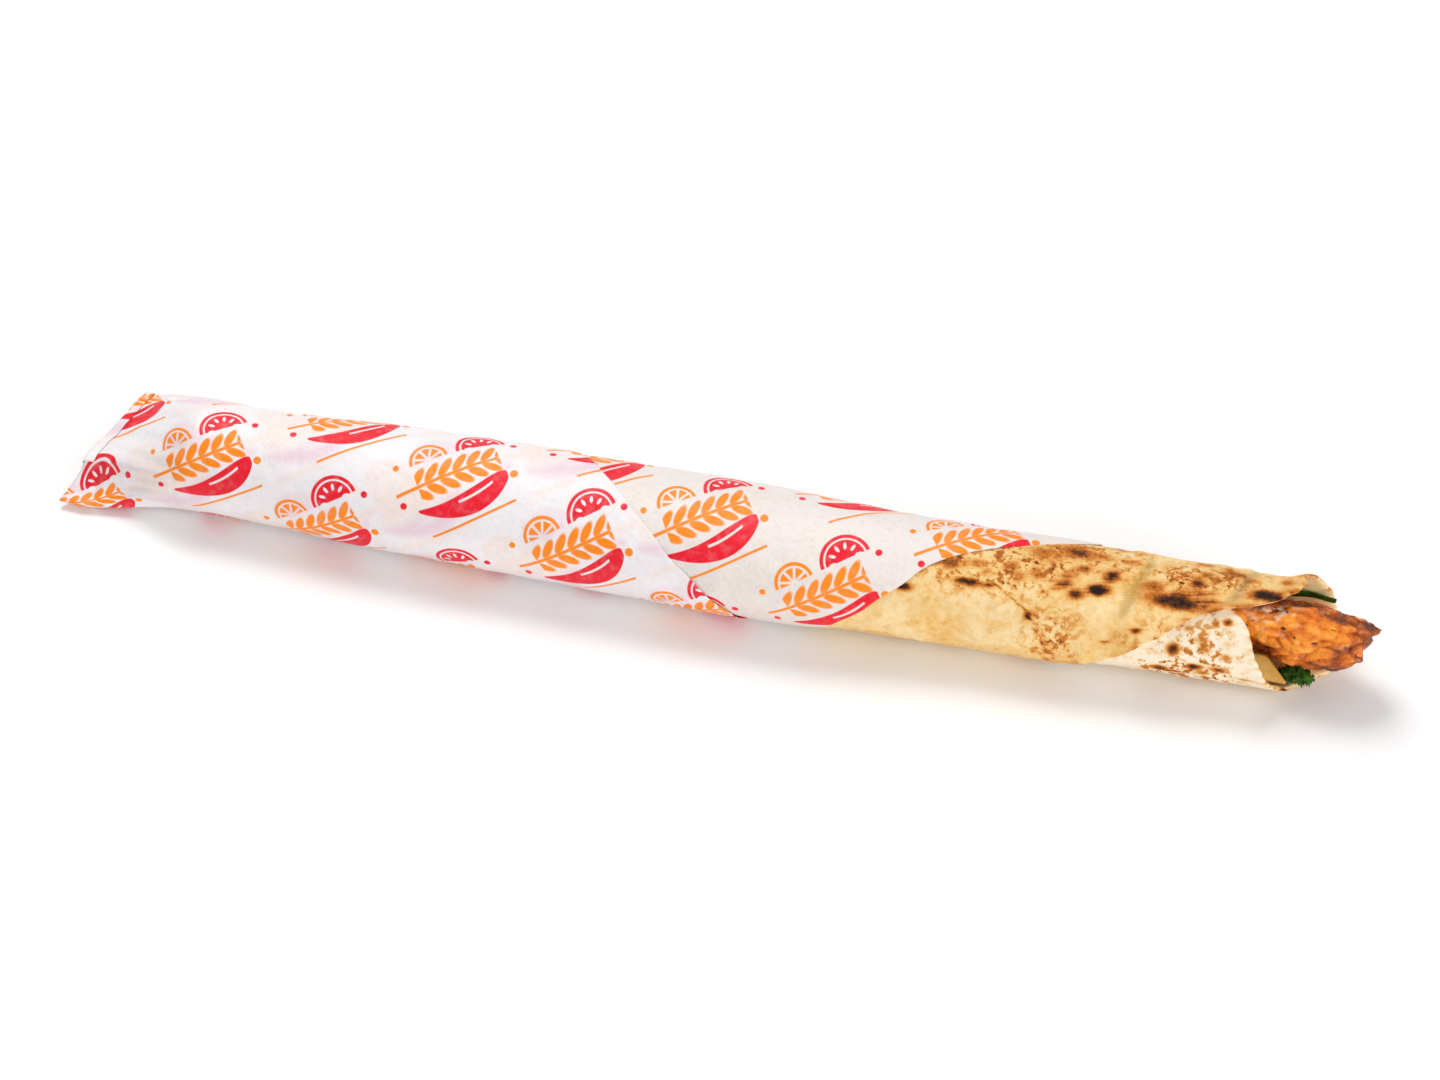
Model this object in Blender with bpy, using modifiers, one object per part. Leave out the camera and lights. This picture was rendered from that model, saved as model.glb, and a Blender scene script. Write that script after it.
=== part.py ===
"""Flatbread wrap filled with grilled chicken, rolled in a printed greaseproof paper.

The roll lies along X with its open end towards +X, and it stands on z = 0. Angles go round the
roll: 0 is the near side (-Y), 90 the top, 180 the far side and 270 the underside. A rolled sheet
keeps counting past 360, so each of its turns has its own angles. Lengths are in millimetres,
and MM turns them into metres where a mesh is made.
"""
import math

import bpy
import numpy as np

NAME = "gyro_wrap"
MM = 0.001
STEP = 15.0  # degrees of one facet round the roll

# Outer face of the flatbread roll: x, half width, half height, y of the middle
SECTIONS = (
    (-185, 16.8, 16.4, 0.4),
    (-150, 17.1, 16.7, -1.0),
    (-105, 19.2, 17.6, -2.1),
    (-20, 21.3, 18.4, -3.0),
    (10, 22.0, 18.4, -3.6),
    (35, 21.7, 18.1, -3.9),
    (55, 20.4, 17.7, -3.4),
    (85, 19.9, 17.6, -2.3),
    (130, 20.0, 17.6, -1.4),
    (175, 19.3, 17.2, -0.7),
    (205, 19.0, 17.0, -0.6),
)
SINK = 0.75  # depth by which the weight of the roll flattens its underside
PAPERED_UNDERSIDE = 1.4  # height of the flatbread where two turns of paper lie under it
BARE_UNDERSIDE = 0.2
BARE_FROM, BARE_TO = 50.0, 100.0  # x where the underside passes from one height to the other

# Pinched end of the paper, at its near corner, its crease and its far corner
TAIL_Y = (-17.3, -5.7, 25.7)
TAIL_X = (-212.1, -205.3, -197.0)
TAIL_Z = (2.8, 10.5, 13.0)
TAIL_LENGTH = (46.0, 40.0, 32.0)  # from the flat end to where the paper is round
TAIL_TWIST = 45.0  # degrees by which the flat end is turned against the roll
TAIL_HALF_GAP = 0.8

PAPER = 0.4
PAPER_GAP = 0.3
PAPER_FROM, PAPER_TO = -75.0, 585.0  # first and last angle of the paper
PAPER_OVERLAP = 255.0  # angle from which the paper lies on its own first turn
# Right-hand edge of the paper: the slanting front edge, its far corner, then the edge of the flap
PAPER_EDGE = (
    (-75, 30), (-18, 46), (40, 65), (75, 80), (110, 107), (127, 120), (148, 122), (185, 107),
    (235, 70), (300, 22), (347, 11), (395, -7), (451, -31), (493, -45), (585, -75),
)
# Rows of the paper along the tail, as shares of its length from the flat end
TAIL_ROWS = (0, 0.07, 0.16, 0.26, 0.37, 0.49, 0.62, 0.78, 1)
PAPER_ROWS = 13  # from there to the edge

BREAD = 1.5
BREAD_PITCH = 1.85  # from one turn of the flatbread to the next, with a gap of 0.35
BREAD_FROM, BREAD_TO = -150.0, 450.0
BREAD_OVERLAP = 210.0  # angle from which the flatbread lies under its own first turn
RAMP = 75.0  # degrees over which a turn of a sheet passes from one depth to the next
BREAD_END = -157.0  # x of its end inside the paper
# Right-hand edge of the flatbread: the slanting seam, the far wall of the mouth, the inner turn
BREAD_EDGE = (
    (-150, 40), (-125, 80), (-105, 92), (-75, 103), (-45, 113), (-7, 130.5), (20, 141.5),
    (43, 151), (62, 160.5), (76, 173), (96, 184), (126, 188), (150, 193), (200, 198.5),
    (254, 196.5), (285, 190.5), (315, 184), (348, 179.5), (384, 175), (416, 171), (450, 158),
)
BREAD_ROWS = 17
ROWS_TOWARDS_MOUTH = 1.7  # power that crowds the rows towards the open end

# The middle of the mouth, from which the filling is placed along two slanting axes
MOUTH_Y, MOUTH_Z = -1.7, 18.5
SLANT = math.sqrt(0.5)

CHICKEN_FROM, CHICKEN_TO = -152.0, 212.0
CHICKEN_BLUNT = 5.0  # length over which its hidden end rounds off
BLUNT_SHARE, HIDDEN_SHARE = 0.08, 0.36  # shares of its rings up to there, and up to the chunk
CHICKEN_WALL = 3.8  # from the outer face of the flatbread to the hidden filling
CHUNK_FROM, CHUNK_TO = 60.0, 105.0  # the plain core passes into the chunk that shows
# Top and bottom of the chunk (x, place along the away axis), then half its size along the other
CHUNK_TOP = (
    (105, 10.6), (150, 10.6), (175, 10.6), (188, 11.2), (195, 10.6), (203, 9.2), (209, 7.8),
    (212, 6.7),
)
CHUNK_BOTTOM = (
    (105, -5.0), (173, -5.0), (178, -6.1), (182, -7.8), (190, -8.3), (197, -8.6),
    (202, -7.2), (205.5, -5.0), (208, -1.0), (209.8, 3.0), (212, 6.4),
)
CHUNK_HALF = (
    (105, 11.0), (150, 11.0), (175, 11.0), (190, 11.2), (200, 10.4), (206, 8.6), (209.5, 5.5),
    (212, 0.4),
)
CHUNK_NEAR = -0.3  # its middle along the near axis
LUMPS_FROM, LUMPS_TO = 150.0, 186.0  # x where its surface turns from plain to lumpy
LUMPS_FADE = 8.0  # half size below which the lumps fade out towards the tip
# Waves that make the lumps: height, waves round the chunk, length of a wave along it, phase
LUMPS = ((0.45, 2, 6.5, 0.0), (0.40, 3, -4.0, 1.0), (0.30, 5, 2.6, 0.0))

FRY_LENGTH, FRY_TALL, FRY_WIDE = 60.0, 7.8, 5.8
FRY_WEDGE = 8.0  # length of its slanting cut
FRY_TIP = (186.3, -10.7, 0.5)  # x, then its place along the two slanting axes
FRY_ROUNDING = 0.8

LEAF = 0.6
LEAF_TEETH = 0.22  # share by which the teeth widen a leaf
LEAF_TIP = 0.2  # width of its two tips, as a share of its own
LEAF_CELLS = (9, 3)
# Parsley: middle of the leaf (x, then the slanting axes), length, width, turn in its plane, lean
LEAVES = (
    ((190.9, -12.2, 0.8), 8.2, 3.6, 18.0, 8.0),
    ((187.9, -11.3, -3.7), 13.0, 4.2, 12.0, -6.0),
    ((188.0, -10.6, -7.6), 12.5, 4.2, 10.0, -30.0),
)

STRIP = 0.9
STRIP_FROM, STRIP_LENGTH = 181.0, 15.5
STRIP_ANGLE, STRIP_WIDTH = 150.0, 15.0  # degrees
STRIP_DEPTH = 2.8  # from the outer face of the flatbread
STRIP_BEND = 0.6  # how far its free end leans inwards


def curve(position, points):
    """Smooth curve through (position, value) pairs."""
    xs, ys = np.array(points, dtype=float).T
    slopes = np.gradient(ys, xs)
    i = np.clip(np.searchsorted(xs, position) - 1, 0, len(xs) - 2)
    span = xs[i + 1] - xs[i]
    t = np.clip((position - xs[i]) / span, 0, 1)
    start = ys[i] * (2 * t**3 - 3 * t**2 + 1) + slopes[i] * span * (t**3 - 2 * t**2 + t)
    end = ys[i + 1] * (3 * t**2 - 2 * t**3) + slopes[i + 1] * span * (t**3 - t**2)
    return start + end


def ease(low, high, value):
    """0 below low, 1 above high, and a smooth step between."""
    t = np.clip((value - low) / (high - low), 0, 1)
    return t * t * (3 - 2 * t)


def flat_y(angle):
    """Y of the pinched end of the paper."""
    turn = math.radians(angle + TAIL_TWIST)
    half = (TAIL_Y[2] - TAIL_Y[0]) / 2
    return TAIL_Y[0] + half * (1 - math.cos(turn))


def tail_x(angle):
    """X of the pinched end, which runs askew."""
    return np.interp(flat_y(angle), TAIL_Y, TAIL_X)


def underside(x):
    """Height of the flatbread's flattened underside."""
    bare = ease(BARE_FROM, BARE_TO, x)
    return PAPERED_UNDERSIDE + bare * (BARE_UNDERSIDE - PAPERED_UNDERSIDE)


def section(x, angle):
    """Y and z of the flatbread's outer face, passing into the flat end of the paper."""
    width, height, middle = (
        curve(x, [(row[0], row[column]) for row in SECTIONS]) for column in (1, 2, 3)
    )
    turn = math.radians(angle)
    round_y = middle - width * math.cos(turn)
    round_z = underside(x) + height - SINK + height * math.sin(turn)
    end_y = flat_y(angle)
    length = np.interp(end_y, TAIL_Y, TAIL_LENGTH)
    pinch = ease(-length, 0, tail_x(angle) - x)
    end_z = np.interp(end_y, TAIL_Y, TAIL_Z)
    end_z += TAIL_HALF_GAP * math.sin(math.radians(angle + TAIL_TWIST))
    return round_y + pinch * (end_y - round_y), round_z + pinch * (end_z - round_z)


def ring(x, angle, out):
    """Point outside the flatbread's outer face by the distance out, never below the table."""
    y, z = section(x, angle)
    before_y, before_z = section(x, angle - 1)
    after_y, after_z = section(x, angle + 1)
    along_y, along_z = after_y - before_y, after_z - before_z
    length = math.hypot(along_y, along_z)
    y -= out * along_z / length
    z += out * along_y / length
    return x, y, max(z, underside(x) - out)


def turns(angle, overlap):
    """How many turns of the same sheet lie between this one and its first."""
    full, part = divmod(angle - (overlap - RAMP), 360)
    return full + min(part / RAMP, 1)


def mouth(x, away, near):
    """Point in the filling: away goes up and to the far side, near goes up and to the near side."""
    return x, MOUTH_Y + (away - near) * SLANT, MOUTH_Z + (away + near) * SLANT


def material(name, colour, roughness):
    """Principled material in one colour."""
    result = bpy.data.materials.new(name)
    result.use_nodes = True
    shader = result.node_tree.nodes["Principled BSDF"]
    shader.inputs["Base Color"].default_value = (*colour, 1)
    shader.inputs["Roughness"].default_value = roughness
    shader.inputs["Metallic"].default_value = 0.0
    return result


def keep(obj, name, finish, parts):
    """Name the active object, give it its material and move it to the collection."""
    obj.name = name
    obj.data.name = name
    obj.data.materials.append(finish)
    obj.data.shade_smooth()
    for collection in list(obj.users_collection):
        collection.objects.unlink(obj)
    parts.objects.link(obj)
    return obj


def bend(obj, place):
    """Move every vertex of a mesh to the point, in millimetres, that place gives for it."""
    for vertex in obj.data.vertices:
        vertex.co = [MM * value for value in place(*vertex.co)]
    obj.data.update()


def sheet(name, cells_along, cells_round, place, thickness, finish, parts):
    """Thin wavy solid: a flat grid bent by place, with both faces split alike."""
    bpy.ops.mesh.primitive_grid_add(x_subdivisions=cells_along, y_subdivisions=cells_round, size=2)
    obj = keep(bpy.context.object, name, finish, parts)
    bend(obj, lambda x, y, z: place((x + 1) / 2, (y + 1) / 2))
    split = obj.modifiers.new("split", "TRIANGULATE")
    split.quad_method = "FIXED"
    wall = obj.modifiers.new("wall", "SOLIDIFY")
    wall.thickness = thickness * MM
    wall.offset = -1
    return obj


def paper_point(along, around):
    """Outer face of the paper, which winds outwards from its first angle to its last."""
    angle = PAPER_FROM + around * (PAPER_TO - PAPER_FROM)
    row = along * (len(TAIL_ROWS) - 1 + PAPER_ROWS)
    length = np.interp(flat_y(angle), TAIL_Y, TAIL_LENGTH)
    tail = tail_x(angle) + length * np.interp(row, range(len(TAIL_ROWS)), TAIL_ROWS)
    past = max(0.0, row - (len(TAIL_ROWS) - 1)) / PAPER_ROWS
    x = tail + past * (curve(angle, PAPER_EDGE) - tail)
    return ring(x, angle, (PAPER + PAPER_GAP) * (1 + turns(angle, PAPER_OVERLAP)))


def bread_point(along, around):
    """Outer face of the flatbread, which winds inwards from its first angle to its last."""
    angle = BREAD_FROM + around * (BREAD_TO - BREAD_FROM)
    crowded = 1 - (1 - along) ** ROWS_TOWARDS_MOUTH
    x = BREAD_END + crowded * (curve(angle, BREAD_EDGE) - BREAD_END)
    return ring(x, angle, -BREAD_PITCH * turns(angle, BREAD_OVERLAP))


def core_section(x, angle, blunt):
    """Y and z of the hidden part of the chicken, which fills the flatbread."""
    _, core_y, core_z = ring(x, angle, -CHICKEN_WALL)
    axis_y = (section(x, 0)[0] + section(x, 180)[0]) / 2
    axis_z = (section(x, 90)[1] + section(x, 270)[1]) / 2
    return axis_y + blunt * (core_y - axis_y), axis_z + blunt * (core_z - axis_z)


def chunk_section(x, angle):
    """Y and z of the lumpy chunk that shows in the mouth of the roll."""
    lump = sum(
        height * math.sin(waves * math.radians(angle) + x / length + phase)
        for height, waves, length, phase in LUMPS
    )
    top, bottom, half = (curve(x, points) for points in (CHUNK_TOP, CHUNK_BOTTOM, CHUNK_HALF))
    lump *= ease(LUMPS_FROM, LUMPS_TO, x) * min(1.0, half / LUMPS_FADE)
    lean = math.radians(angle - 45)
    away = (top + bottom) / 2 + ((top - bottom) / 2 + lump) * math.sin(lean)
    near = CHUNK_NEAR + (half + lump) * math.cos(lean)
    return mouth(x, away, near)[1:]


def chicken_point(x, y, z):
    """Chicken that runs through the roll, from a point of a ball whose poles lie along Z."""
    angle = math.degrees(math.atan2(y, x))
    along = math.acos(min(1.0, max(-1.0, z))) / math.pi
    hidden = ((0, CHICKEN_FROM), (BLUNT_SHARE, CHICKEN_FROM + CHICKEN_BLUNT), (HIDDEN_SHARE, CHUNK_TO))
    to_tip = max(0.0, along - HIDDEN_SHARE) / (1 - HIDDEN_SHARE)
    x = np.interp(along, *zip(*hidden)) + (CHICKEN_TO - CHUNK_TO) * math.sin(to_tip * math.pi / 2)
    core_y, core_z = core_section(x, angle, math.sqrt(min(1.0, along / BLUNT_SHARE)))
    chunk_y, chunk_z = chunk_section(x, angle)
    shows = ease(CHUNK_FROM, CHUNK_TO, x)
    return x, core_y + shows * (chunk_y - core_y), core_z + shows * (chunk_z - core_z)


def make_chicken(finish, parts):
    """Grilled chicken, one long piece with a lumpy end."""
    bpy.ops.mesh.primitive_uv_sphere_add(segments=24, ring_count=40, radius=1)
    obj = keep(bpy.context.object, "chicken", finish, parts)
    bend(obj, chicken_point)


def make_fry(finish, parts):
    """Potato fry with a slanting cut end, lying along the near wall."""
    bpy.ops.mesh.primitive_cube_add(size=1)
    obj = keep(bpy.context.object, "fry", finish, parts)

    def place(x, y, z):
        cut = FRY_WEDGE if x > 0 and z > 0 else 0.0
        return (x - 0.5) * FRY_LENGTH - cut, y * FRY_WIDE, z * FRY_TALL

    bend(obj, place)
    obj.location = [MM * value for value in mouth(*FRY_TIP)]
    obj.rotation_euler = (math.radians(-45), 0, 0)
    edges = obj.modifiers.new("edges", "BEVEL")
    edges.width = FRY_ROUNDING * MM
    edges.segments = 2


def make_leaf(name, middle, length, width, turn, lean, finish, parts):
    """Crumpled parsley leaf with a few blunt teeth."""
    cos_turn, sin_turn = math.cos(math.radians(turn)), math.sin(math.radians(turn))
    cos_lean, sin_lean = math.cos(math.radians(lean)), math.sin(math.radians(lean))

    def place(along, across):
        teeth = 1 + LEAF_TEETH * math.cos(6 * math.pi * along)
        swell = teeth * (LEAF_TIP + math.sin(math.pi * along) ** 0.6)
        flat_x = (along - 0.5) * length
        flat_z = (2 * across - 1) * swell * width / 2
        wave = 0.5 * math.sin(2 * math.pi * along + middle[0])
        wave += 0.3 * swell * math.sin(4 * across)
        away = flat_x * sin_turn + flat_z * cos_turn
        return mouth(
            middle[0] + flat_x * cos_turn - flat_z * sin_turn,
            middle[1] + away * cos_lean - wave * sin_lean,
            middle[2] + away * sin_lean + wave * cos_lean,
        )

    sheet(name, *LEAF_CELLS, place, LEAF, finish, parts)


def strip_point(along, around):
    """Outer face of the strip of green leaf inside the far wall, its free end bent inwards."""
    bend_in = STRIP_BEND * along**3 + 0.2 * math.sin(9 * along)
    x = STRIP_FROM + STRIP_LENGTH * along
    return ring(x, STRIP_ANGLE + STRIP_WIDTH * around, -STRIP_DEPTH - bend_in)


def main():
    for obj in list(bpy.data.objects):
        bpy.data.objects.remove(obj)
    parts = bpy.data.collections.new(NAME)
    bpy.context.scene.collection.children.link(parts)

    paper = material("greaseproof_paper", (0.90, 0.87, 0.85), 0.55)
    bread = material("flatbread", (0.84, 0.58, 0.27), 0.75)
    chicken = material("grilled_chicken", (0.60, 0.19, 0.04), 0.40)
    potato = material("fried_potato", (0.72, 0.45, 0.10), 0.50)
    green = material("green_leaf", (0.04, 0.16, 0.02), 0.50)

    rounds = round((PAPER_TO - PAPER_FROM) / STEP)
    rows = len(TAIL_ROWS) - 1 + PAPER_ROWS
    sheet("paper", rows, rounds, paper_point, PAPER, paper, parts)
    rounds = round((BREAD_TO - BREAD_FROM) / STEP)
    sheet("flatbread", BREAD_ROWS, rounds, bread_point, BREAD, bread, parts)
    make_chicken(chicken, parts)
    make_fry(potato, parts)
    for number, leaf in enumerate(LEAVES, 1):
        make_leaf(f"parsley_leaf_{number}", *leaf, green, parts)
    sheet("green_strip", 8, 3, strip_point, STRIP, green, parts)


main()
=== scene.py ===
"""Looks of the flatbread wrap: printed greaseproof paper, toasted flatbread, grilled chicken,
a fry, parsley and a strip of green leaf, each a finer mesh over its CAD solid.

The row's frame is kept: the roll lies along X with its open end towards +X. Angles go round it
in degrees: 0 is the near side (-Y), 90 the top, 180 the far side and 270 the underside, and a
rolled sheet counts on past 360. Lengths are in millimetres until a mesh is made.
"""

import bpy
import numpy as np
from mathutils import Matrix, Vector, noise


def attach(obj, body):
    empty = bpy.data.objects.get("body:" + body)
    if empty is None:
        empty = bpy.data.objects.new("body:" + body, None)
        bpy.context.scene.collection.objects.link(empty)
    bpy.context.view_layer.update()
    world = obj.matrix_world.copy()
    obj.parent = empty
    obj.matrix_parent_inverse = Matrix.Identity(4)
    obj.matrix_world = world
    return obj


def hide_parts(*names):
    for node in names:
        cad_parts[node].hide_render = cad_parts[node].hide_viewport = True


MM = 0.001

# The shape of the roll, as the CAD model has it: x, half width, half height, y of the middle
SECTIONS = (
    (-185, 16.8, 16.4, 0.4),
    (-150, 17.1, 16.7, -1.0),
    (-105, 19.2, 17.6, -2.1),
    (-20, 21.3, 18.4, -3.0),
    (10, 22.0, 18.4, -3.6),
    (35, 21.7, 18.1, -3.9),
    (55, 20.4, 17.7, -3.4),
    (85, 19.9, 17.6, -2.3),
    (130, 20.0, 17.6, -1.4),
    (175, 19.3, 17.2, -0.7),
    (205, 19.0, 17.0, -0.6),
)
SINK = 0.75  # how far the round section reaches below the flattened underside
# Height of the underside where it is papered and bare, and x from where to where it changes
PAPERED_UNDERSIDE, BARE_UNDERSIDE = 1.4, 0.2
BARE_FROM, BARE_TO = 50.0, 100.0
# The pinched end, from its near corner to its far one: y, x, z and the length of the pinch
TAIL_Y = (-17.3, -5.7, 25.7)
TAIL_X = (-212.1, -205.3, -197.0)
TAIL_Z = (2.8, 10.5, 13.0)
TAIL_LENGTH = (46.0, 40.0, 32.0)
TAIL_TWIST = 45.0  # degrees by which its near corner lies below the near side
TAIL_HALF_GAP = 0.8  # half the height between its upper and its lower layer
RAMP = 75.0  # degrees over which a turn of a sheet passes from one depth to the next
MEAN_RADIUS = 19.8  # turns degrees round the roll into millimetres of sheet

# The paper: thickness, distance between its turns, angles where it starts, ends and begins to
# lie on itself, and its right-hand edge as (angle, x)
PAPER = 0.16
PAPER_PITCH = 0.7
PAPER_FROM, PAPER_TO, PAPER_OVERLAP = -75.0, 585.0, 255.0
PAPER_EDGE = (
    (-75, 30), (-18, 46), (40, 65), (75, 80), (110, 107), (127, 120), (148, 122), (185, 107),
    (235, 70), (300, 22), (347, 11), (395, -7), (451, -31), (493, -45), (585, -75),
)
PAPER_TAIL_ROWS, PAPER_ROWS, PAPER_COLUMNS = 60, 130, 200
# Heights of its wide and small crumples, and of the folds towards the pinched end
WIDE_CRUMPLES, SMALL_CRUMPLES, TAIL_FOLDS = 0.4, 0.26, 0.75
EDGE_WAVES, EDGE_PRESSED = 0.12, 0.32  # of its edge
# The crease along the tail: angle, x where it starts and is full, height, reach up and down
CREASE_ANGLE, CREASE_FROM, CREASE_FULL = 15.0, -168.0, -190.0
CREASE_HEIGHT, CREASE_ABOVE, CREASE_BELOW = 2.8, 10.0, 1.8
# The hollow below it: (x, angle, half length, half width) and depth
HOLLOW, HOLLOW_DEPTH = (-188.0, -9.0, 20.0, 7.0), 2.9
DENT_X, DENT_WIDTH, DENT_DEPTH = -201.0, 1.4, 0.8  # dent across the near corner of the tail
HEM_FROM, HEM_TO = 15.0, 134.0  # angles between which the end is folded up into a hem
HEM_COLUMNS = 90
# Rows of the hem: distance from the end, share of the way from top to bottom, extra height
HEM_PATH = (
    (3.2, 0, 0.05), (2.4, 0, 0.12), (1.6, 0, 0.15), (0.8, 0, 0.15), (0.1, 0, 0.1),
    (-0.3, 0.12, 0.05), (-0.5, 0.35, 0.0), (-0.5, 0.65, 0.0), (-0.3, 0.88, 0.05),
    (0.2, 1, 0.1), (1.6, 1, 0.1),
)
HEM_LIFT = 0.3  # from the paper that it lies on
HEM_SHIFT = (31.0, 12.0)  # of its print

# The flatbread in the same way, with x of its hidden left-hand end
BREAD = 1.5
BREAD_PITCH = 1.85
BREAD_FROM, BREAD_TO, BREAD_OVERLAP = -150.0, 450.0, 210.0
BREAD_END = -157.0
BREAD_EDGE = (
    (-150, 40), (-125, 80), (-105, 92), (-75, 103), (-45, 113), (-7, 130.5), (20, 141.5),
    (43, 151), (62, 160.5), (76, 173), (96, 184), (126, 188), (150, 193), (200, 198.5),
    (254, 196.5), (285, 190.5), (315, 184), (348, 179.5), (384, 175), (416, 171), (450, 158),
)
BREAD_HIDDEN_TO = 40.0  # x up to which the paper hides the flatbread all round
BREAD_HIDDEN_ROWS, BREAD_ROWS, BREAD_COLUMNS = 18, 145, 210
BREAD_LAST_ROWS = (0.0045, 0.003, 0.0015, 0.0)  # shares of its length left before its edge
EDGE_ROUND = 1.3  # width over which its edge rounds off
EDGE_UNDERNEATH = (264.0, 18.0, 3.6)  # angle, half width and extra length of the edge there
SEAM_LIFT, SEAM_REACH = 0.35, 3.0  # how far the edge stands out, and how soon that fades
LIP_ANGLE, LIP_LENGTH, LIP_WIDTH, LIP_LIFT = 126.0, 4.2, 9.0, 2.3  # where it rolls outwards
# Heights of its waves, wrinkles and blisters, and depth of its grooves
WAVES, WRINKLES, BLISTERS, GROOVE_DEPTH = 0.7, 0.2, 0.55, 0.8
# Grooves across the top: angles and x of two places, half width, angles of fading in and out
GROOVES = (
    ((44, 107), (133.5, 139.5), 1.5, (38, 50), (125, 105)),
    ((75, 129), (165.5, 171.5), 1.3, (68, 80), (145, 125)),
)
FOLD_X, FOLD_AROUND = 112.0, 2.8  # middle of the toasted line across the near side

MOUTH_Y, MOUTH_Z = -1.7, 18.5  # middle of the filling in the mouth
SLANT = np.sqrt(0.5)

CHICKEN_FROM, CHICKEN_TO = -152.0, 212.0
CHICKEN_WALL = 3.8  # from the flatbread's outer face to the chicken's hidden core
CHUNK_FROM, CHUNK_TO = 60.0, 105.0  # x from where to where the core turns into the chunk
# The chunk at each x: its top, bottom and half width along the slanting axes
CHUNK_TOP = (
    (105, 10.6), (150, 10.6), (175, 10.6), (188, 11.2), (195, 10.6), (203, 9.2), (209, 7.8),
    (212, 6.7),
)
CHUNK_BOTTOM = (
    (105, -5.0), (173, -5.0), (178, -6.1), (182, -7.8), (190, -8.3), (197, -8.6),
    (202, -7.2), (205.5, -5.0), (208, -1.0), (209.8, 3.0), (212, 6.4),
)
CHUNK_HALF = (
    (105, 11.0), (150, 11.0), (175, 11.0), (190, 11.2), (200, 10.4), (206, 8.6), (209.5, 5.5),
    (212, 0.4),
)
CHUNK_NEAR = -0.3  # its middle along the near axis
CRAGS_FROM, CRAGS_TO = 150.0, 178.0  # x from where to where its crags grow
LUMPS, CLEFTS, KNOBS, GRAINS = 0.7, 1.9, 0.9, 0.25  # their heights
CRAGS_FULL = 6.0  # distance from its middle where they are full
TORN_FROM, TORN_TO = 196.0, 207.0  # x from where to where its end is torn
# Notches of the torn end: place along the away axis, half width, depth
NOTCHES = ((3.9, 0.7, 1.1), (-0.8, 1.7, 0.9), (-3.9, 1.0, -0.7), (7.0, 1.0, 0.7))
HIGHLIGHT_X, HIGHLIGHT_ANGLE, HIGHLIGHT_LENGTH, HIGHLIGHT_WIDTH = 178.0, 74.0, 7.0, 28.0  # painted highlight: where a pale spot stands in for the shine of the sauce
SEARED_MOST = 0.85
CHICKEN_HIDDEN_ROWS, CHICKEN_ROWS, CHICKEN_COLUMNS = 24, 170, 160

# The fry, the length that the slanting cut takes off it, and its tip on the slanting axes
FRY_LENGTH, FRY_TALL, FRY_WIDE, FRY_WEDGE = 60.0, 7.8, 5.8, 8.0
FRY_TIP = (186.3, -10.7, 0.5)
FRY_POWER = 0.22  # how square its section is: 1 would be round and 0 square
FRY_BLUNT = 0.8  # length over which its ends round off
FRY_ROWS, FRY_COLUMNS = 60, 40

# Parsley: middle (x, then the slanting axes), length, width, turn in its plane, lean
LEAVES = (
    ((190.9, -12.2, 0.8), 8.2, 3.6, 18.0, 8.0),
    ((187.9, -11.3, -3.7), 13.0, 4.2, 12.0, -6.0),
    ((188.0, -10.6, -7.6), 12.5, 4.2, 10.0, -30.0),
)
LEAF = 0.35  # thickness
LEAF_ROWS, LEAF_COLUMNS = 48, 20
VEIN_WIDTH = 0.12  # as a share of the leaf

# The green strip: thickness, x, angles, depth in the roll and how far its end bends inwards
STRIP = 0.7
STRIP_FROM, STRIP_LENGTH = 181.0, 15.5
STRIP_ANGLE, STRIP_WIDTH = 150.0, 15.0
STRIP_DEPTH, STRIP_BEND = 2.8, 0.6
STRIP_ROWS, STRIP_COLUMNS = 34, 26

# Charred spots of the flatbread that show: x, angle, half length, half width, darkness
SPOTS = (
    (125.5, 65, 2.9, 1.5, 1.25), (128.5, 80, 1.9, 2.0, 0.85), (119, 58, 2.4, 1.5, 0.85),
    (115, 66, 1.9, 1.2, 0.75), (115.5, 74, 1.9, 1.2, 0.65), (120, 85, 2.6, 1.6, 0.65),
    (112.5, 60, 1.6, 1.0, 0.5), (149, 66, 7.0, 2.2, 1.1), (150, 70, 3.4, 2.2, 0.9),
    (142, 77, 4.0, 2.2, 0.55), (154.5, 89, 2.3, 2.6, 0.8), (155, 78, 2.2, 1.4, 0.6),
    (158.5, 80, 1.9, 1.2, 0.55), (158, 71, 3.0, 1.1, 0.6), (157, 103, 2.2, 1.8, 0.6),
    (149, 93, 1.2, 0.9, 0.55), (146.5, 84, 1.4, 0.9, 0.4), (175.5, 87, 4.0, 1.9, 1.15),
    (138.5, 33, 1.7, 0.9, 0.8), (130, 16, 1.0, 0.8, 0.55), (105.5, 32, 1.2, 1.6, 0.75),
    (86, 54, 4.6, 1.2, 1.0), (92, 54, 2.2, 1.0, 0.8), (67, 40, 2.6, 1.4, 0.95),
    (79.5, 69, 4.5, 2.2, 0.65), (88, 73, 3.6, 1.7, 0.6), (91, 66, 2.2, 1.4, 0.55),
    (98, 75, 2.6, 1.7, 0.5), (101, 66, 2.2, 2.0, 0.45), (106, 71, 2.6, 2.4, 0.5),
    (108, 96, 6.5, 3.0, 0.5), (117, 104, 6.0, 3.2, 0.65), (126, 104, 3.6, 2.0, 0.5),
    (134, 104, 4.2, 1.6, 0.5), (165, 112, 4.5, 3.0, 0.6), (181, 110, 2.0, 1.8, 0.5),
    (170, 104, 2.4, 1.6, 0.5), (144, 104, 2.2, 1.8, 0.3), (160, 96, 1.6, 1.4, 0.45),
)
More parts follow.
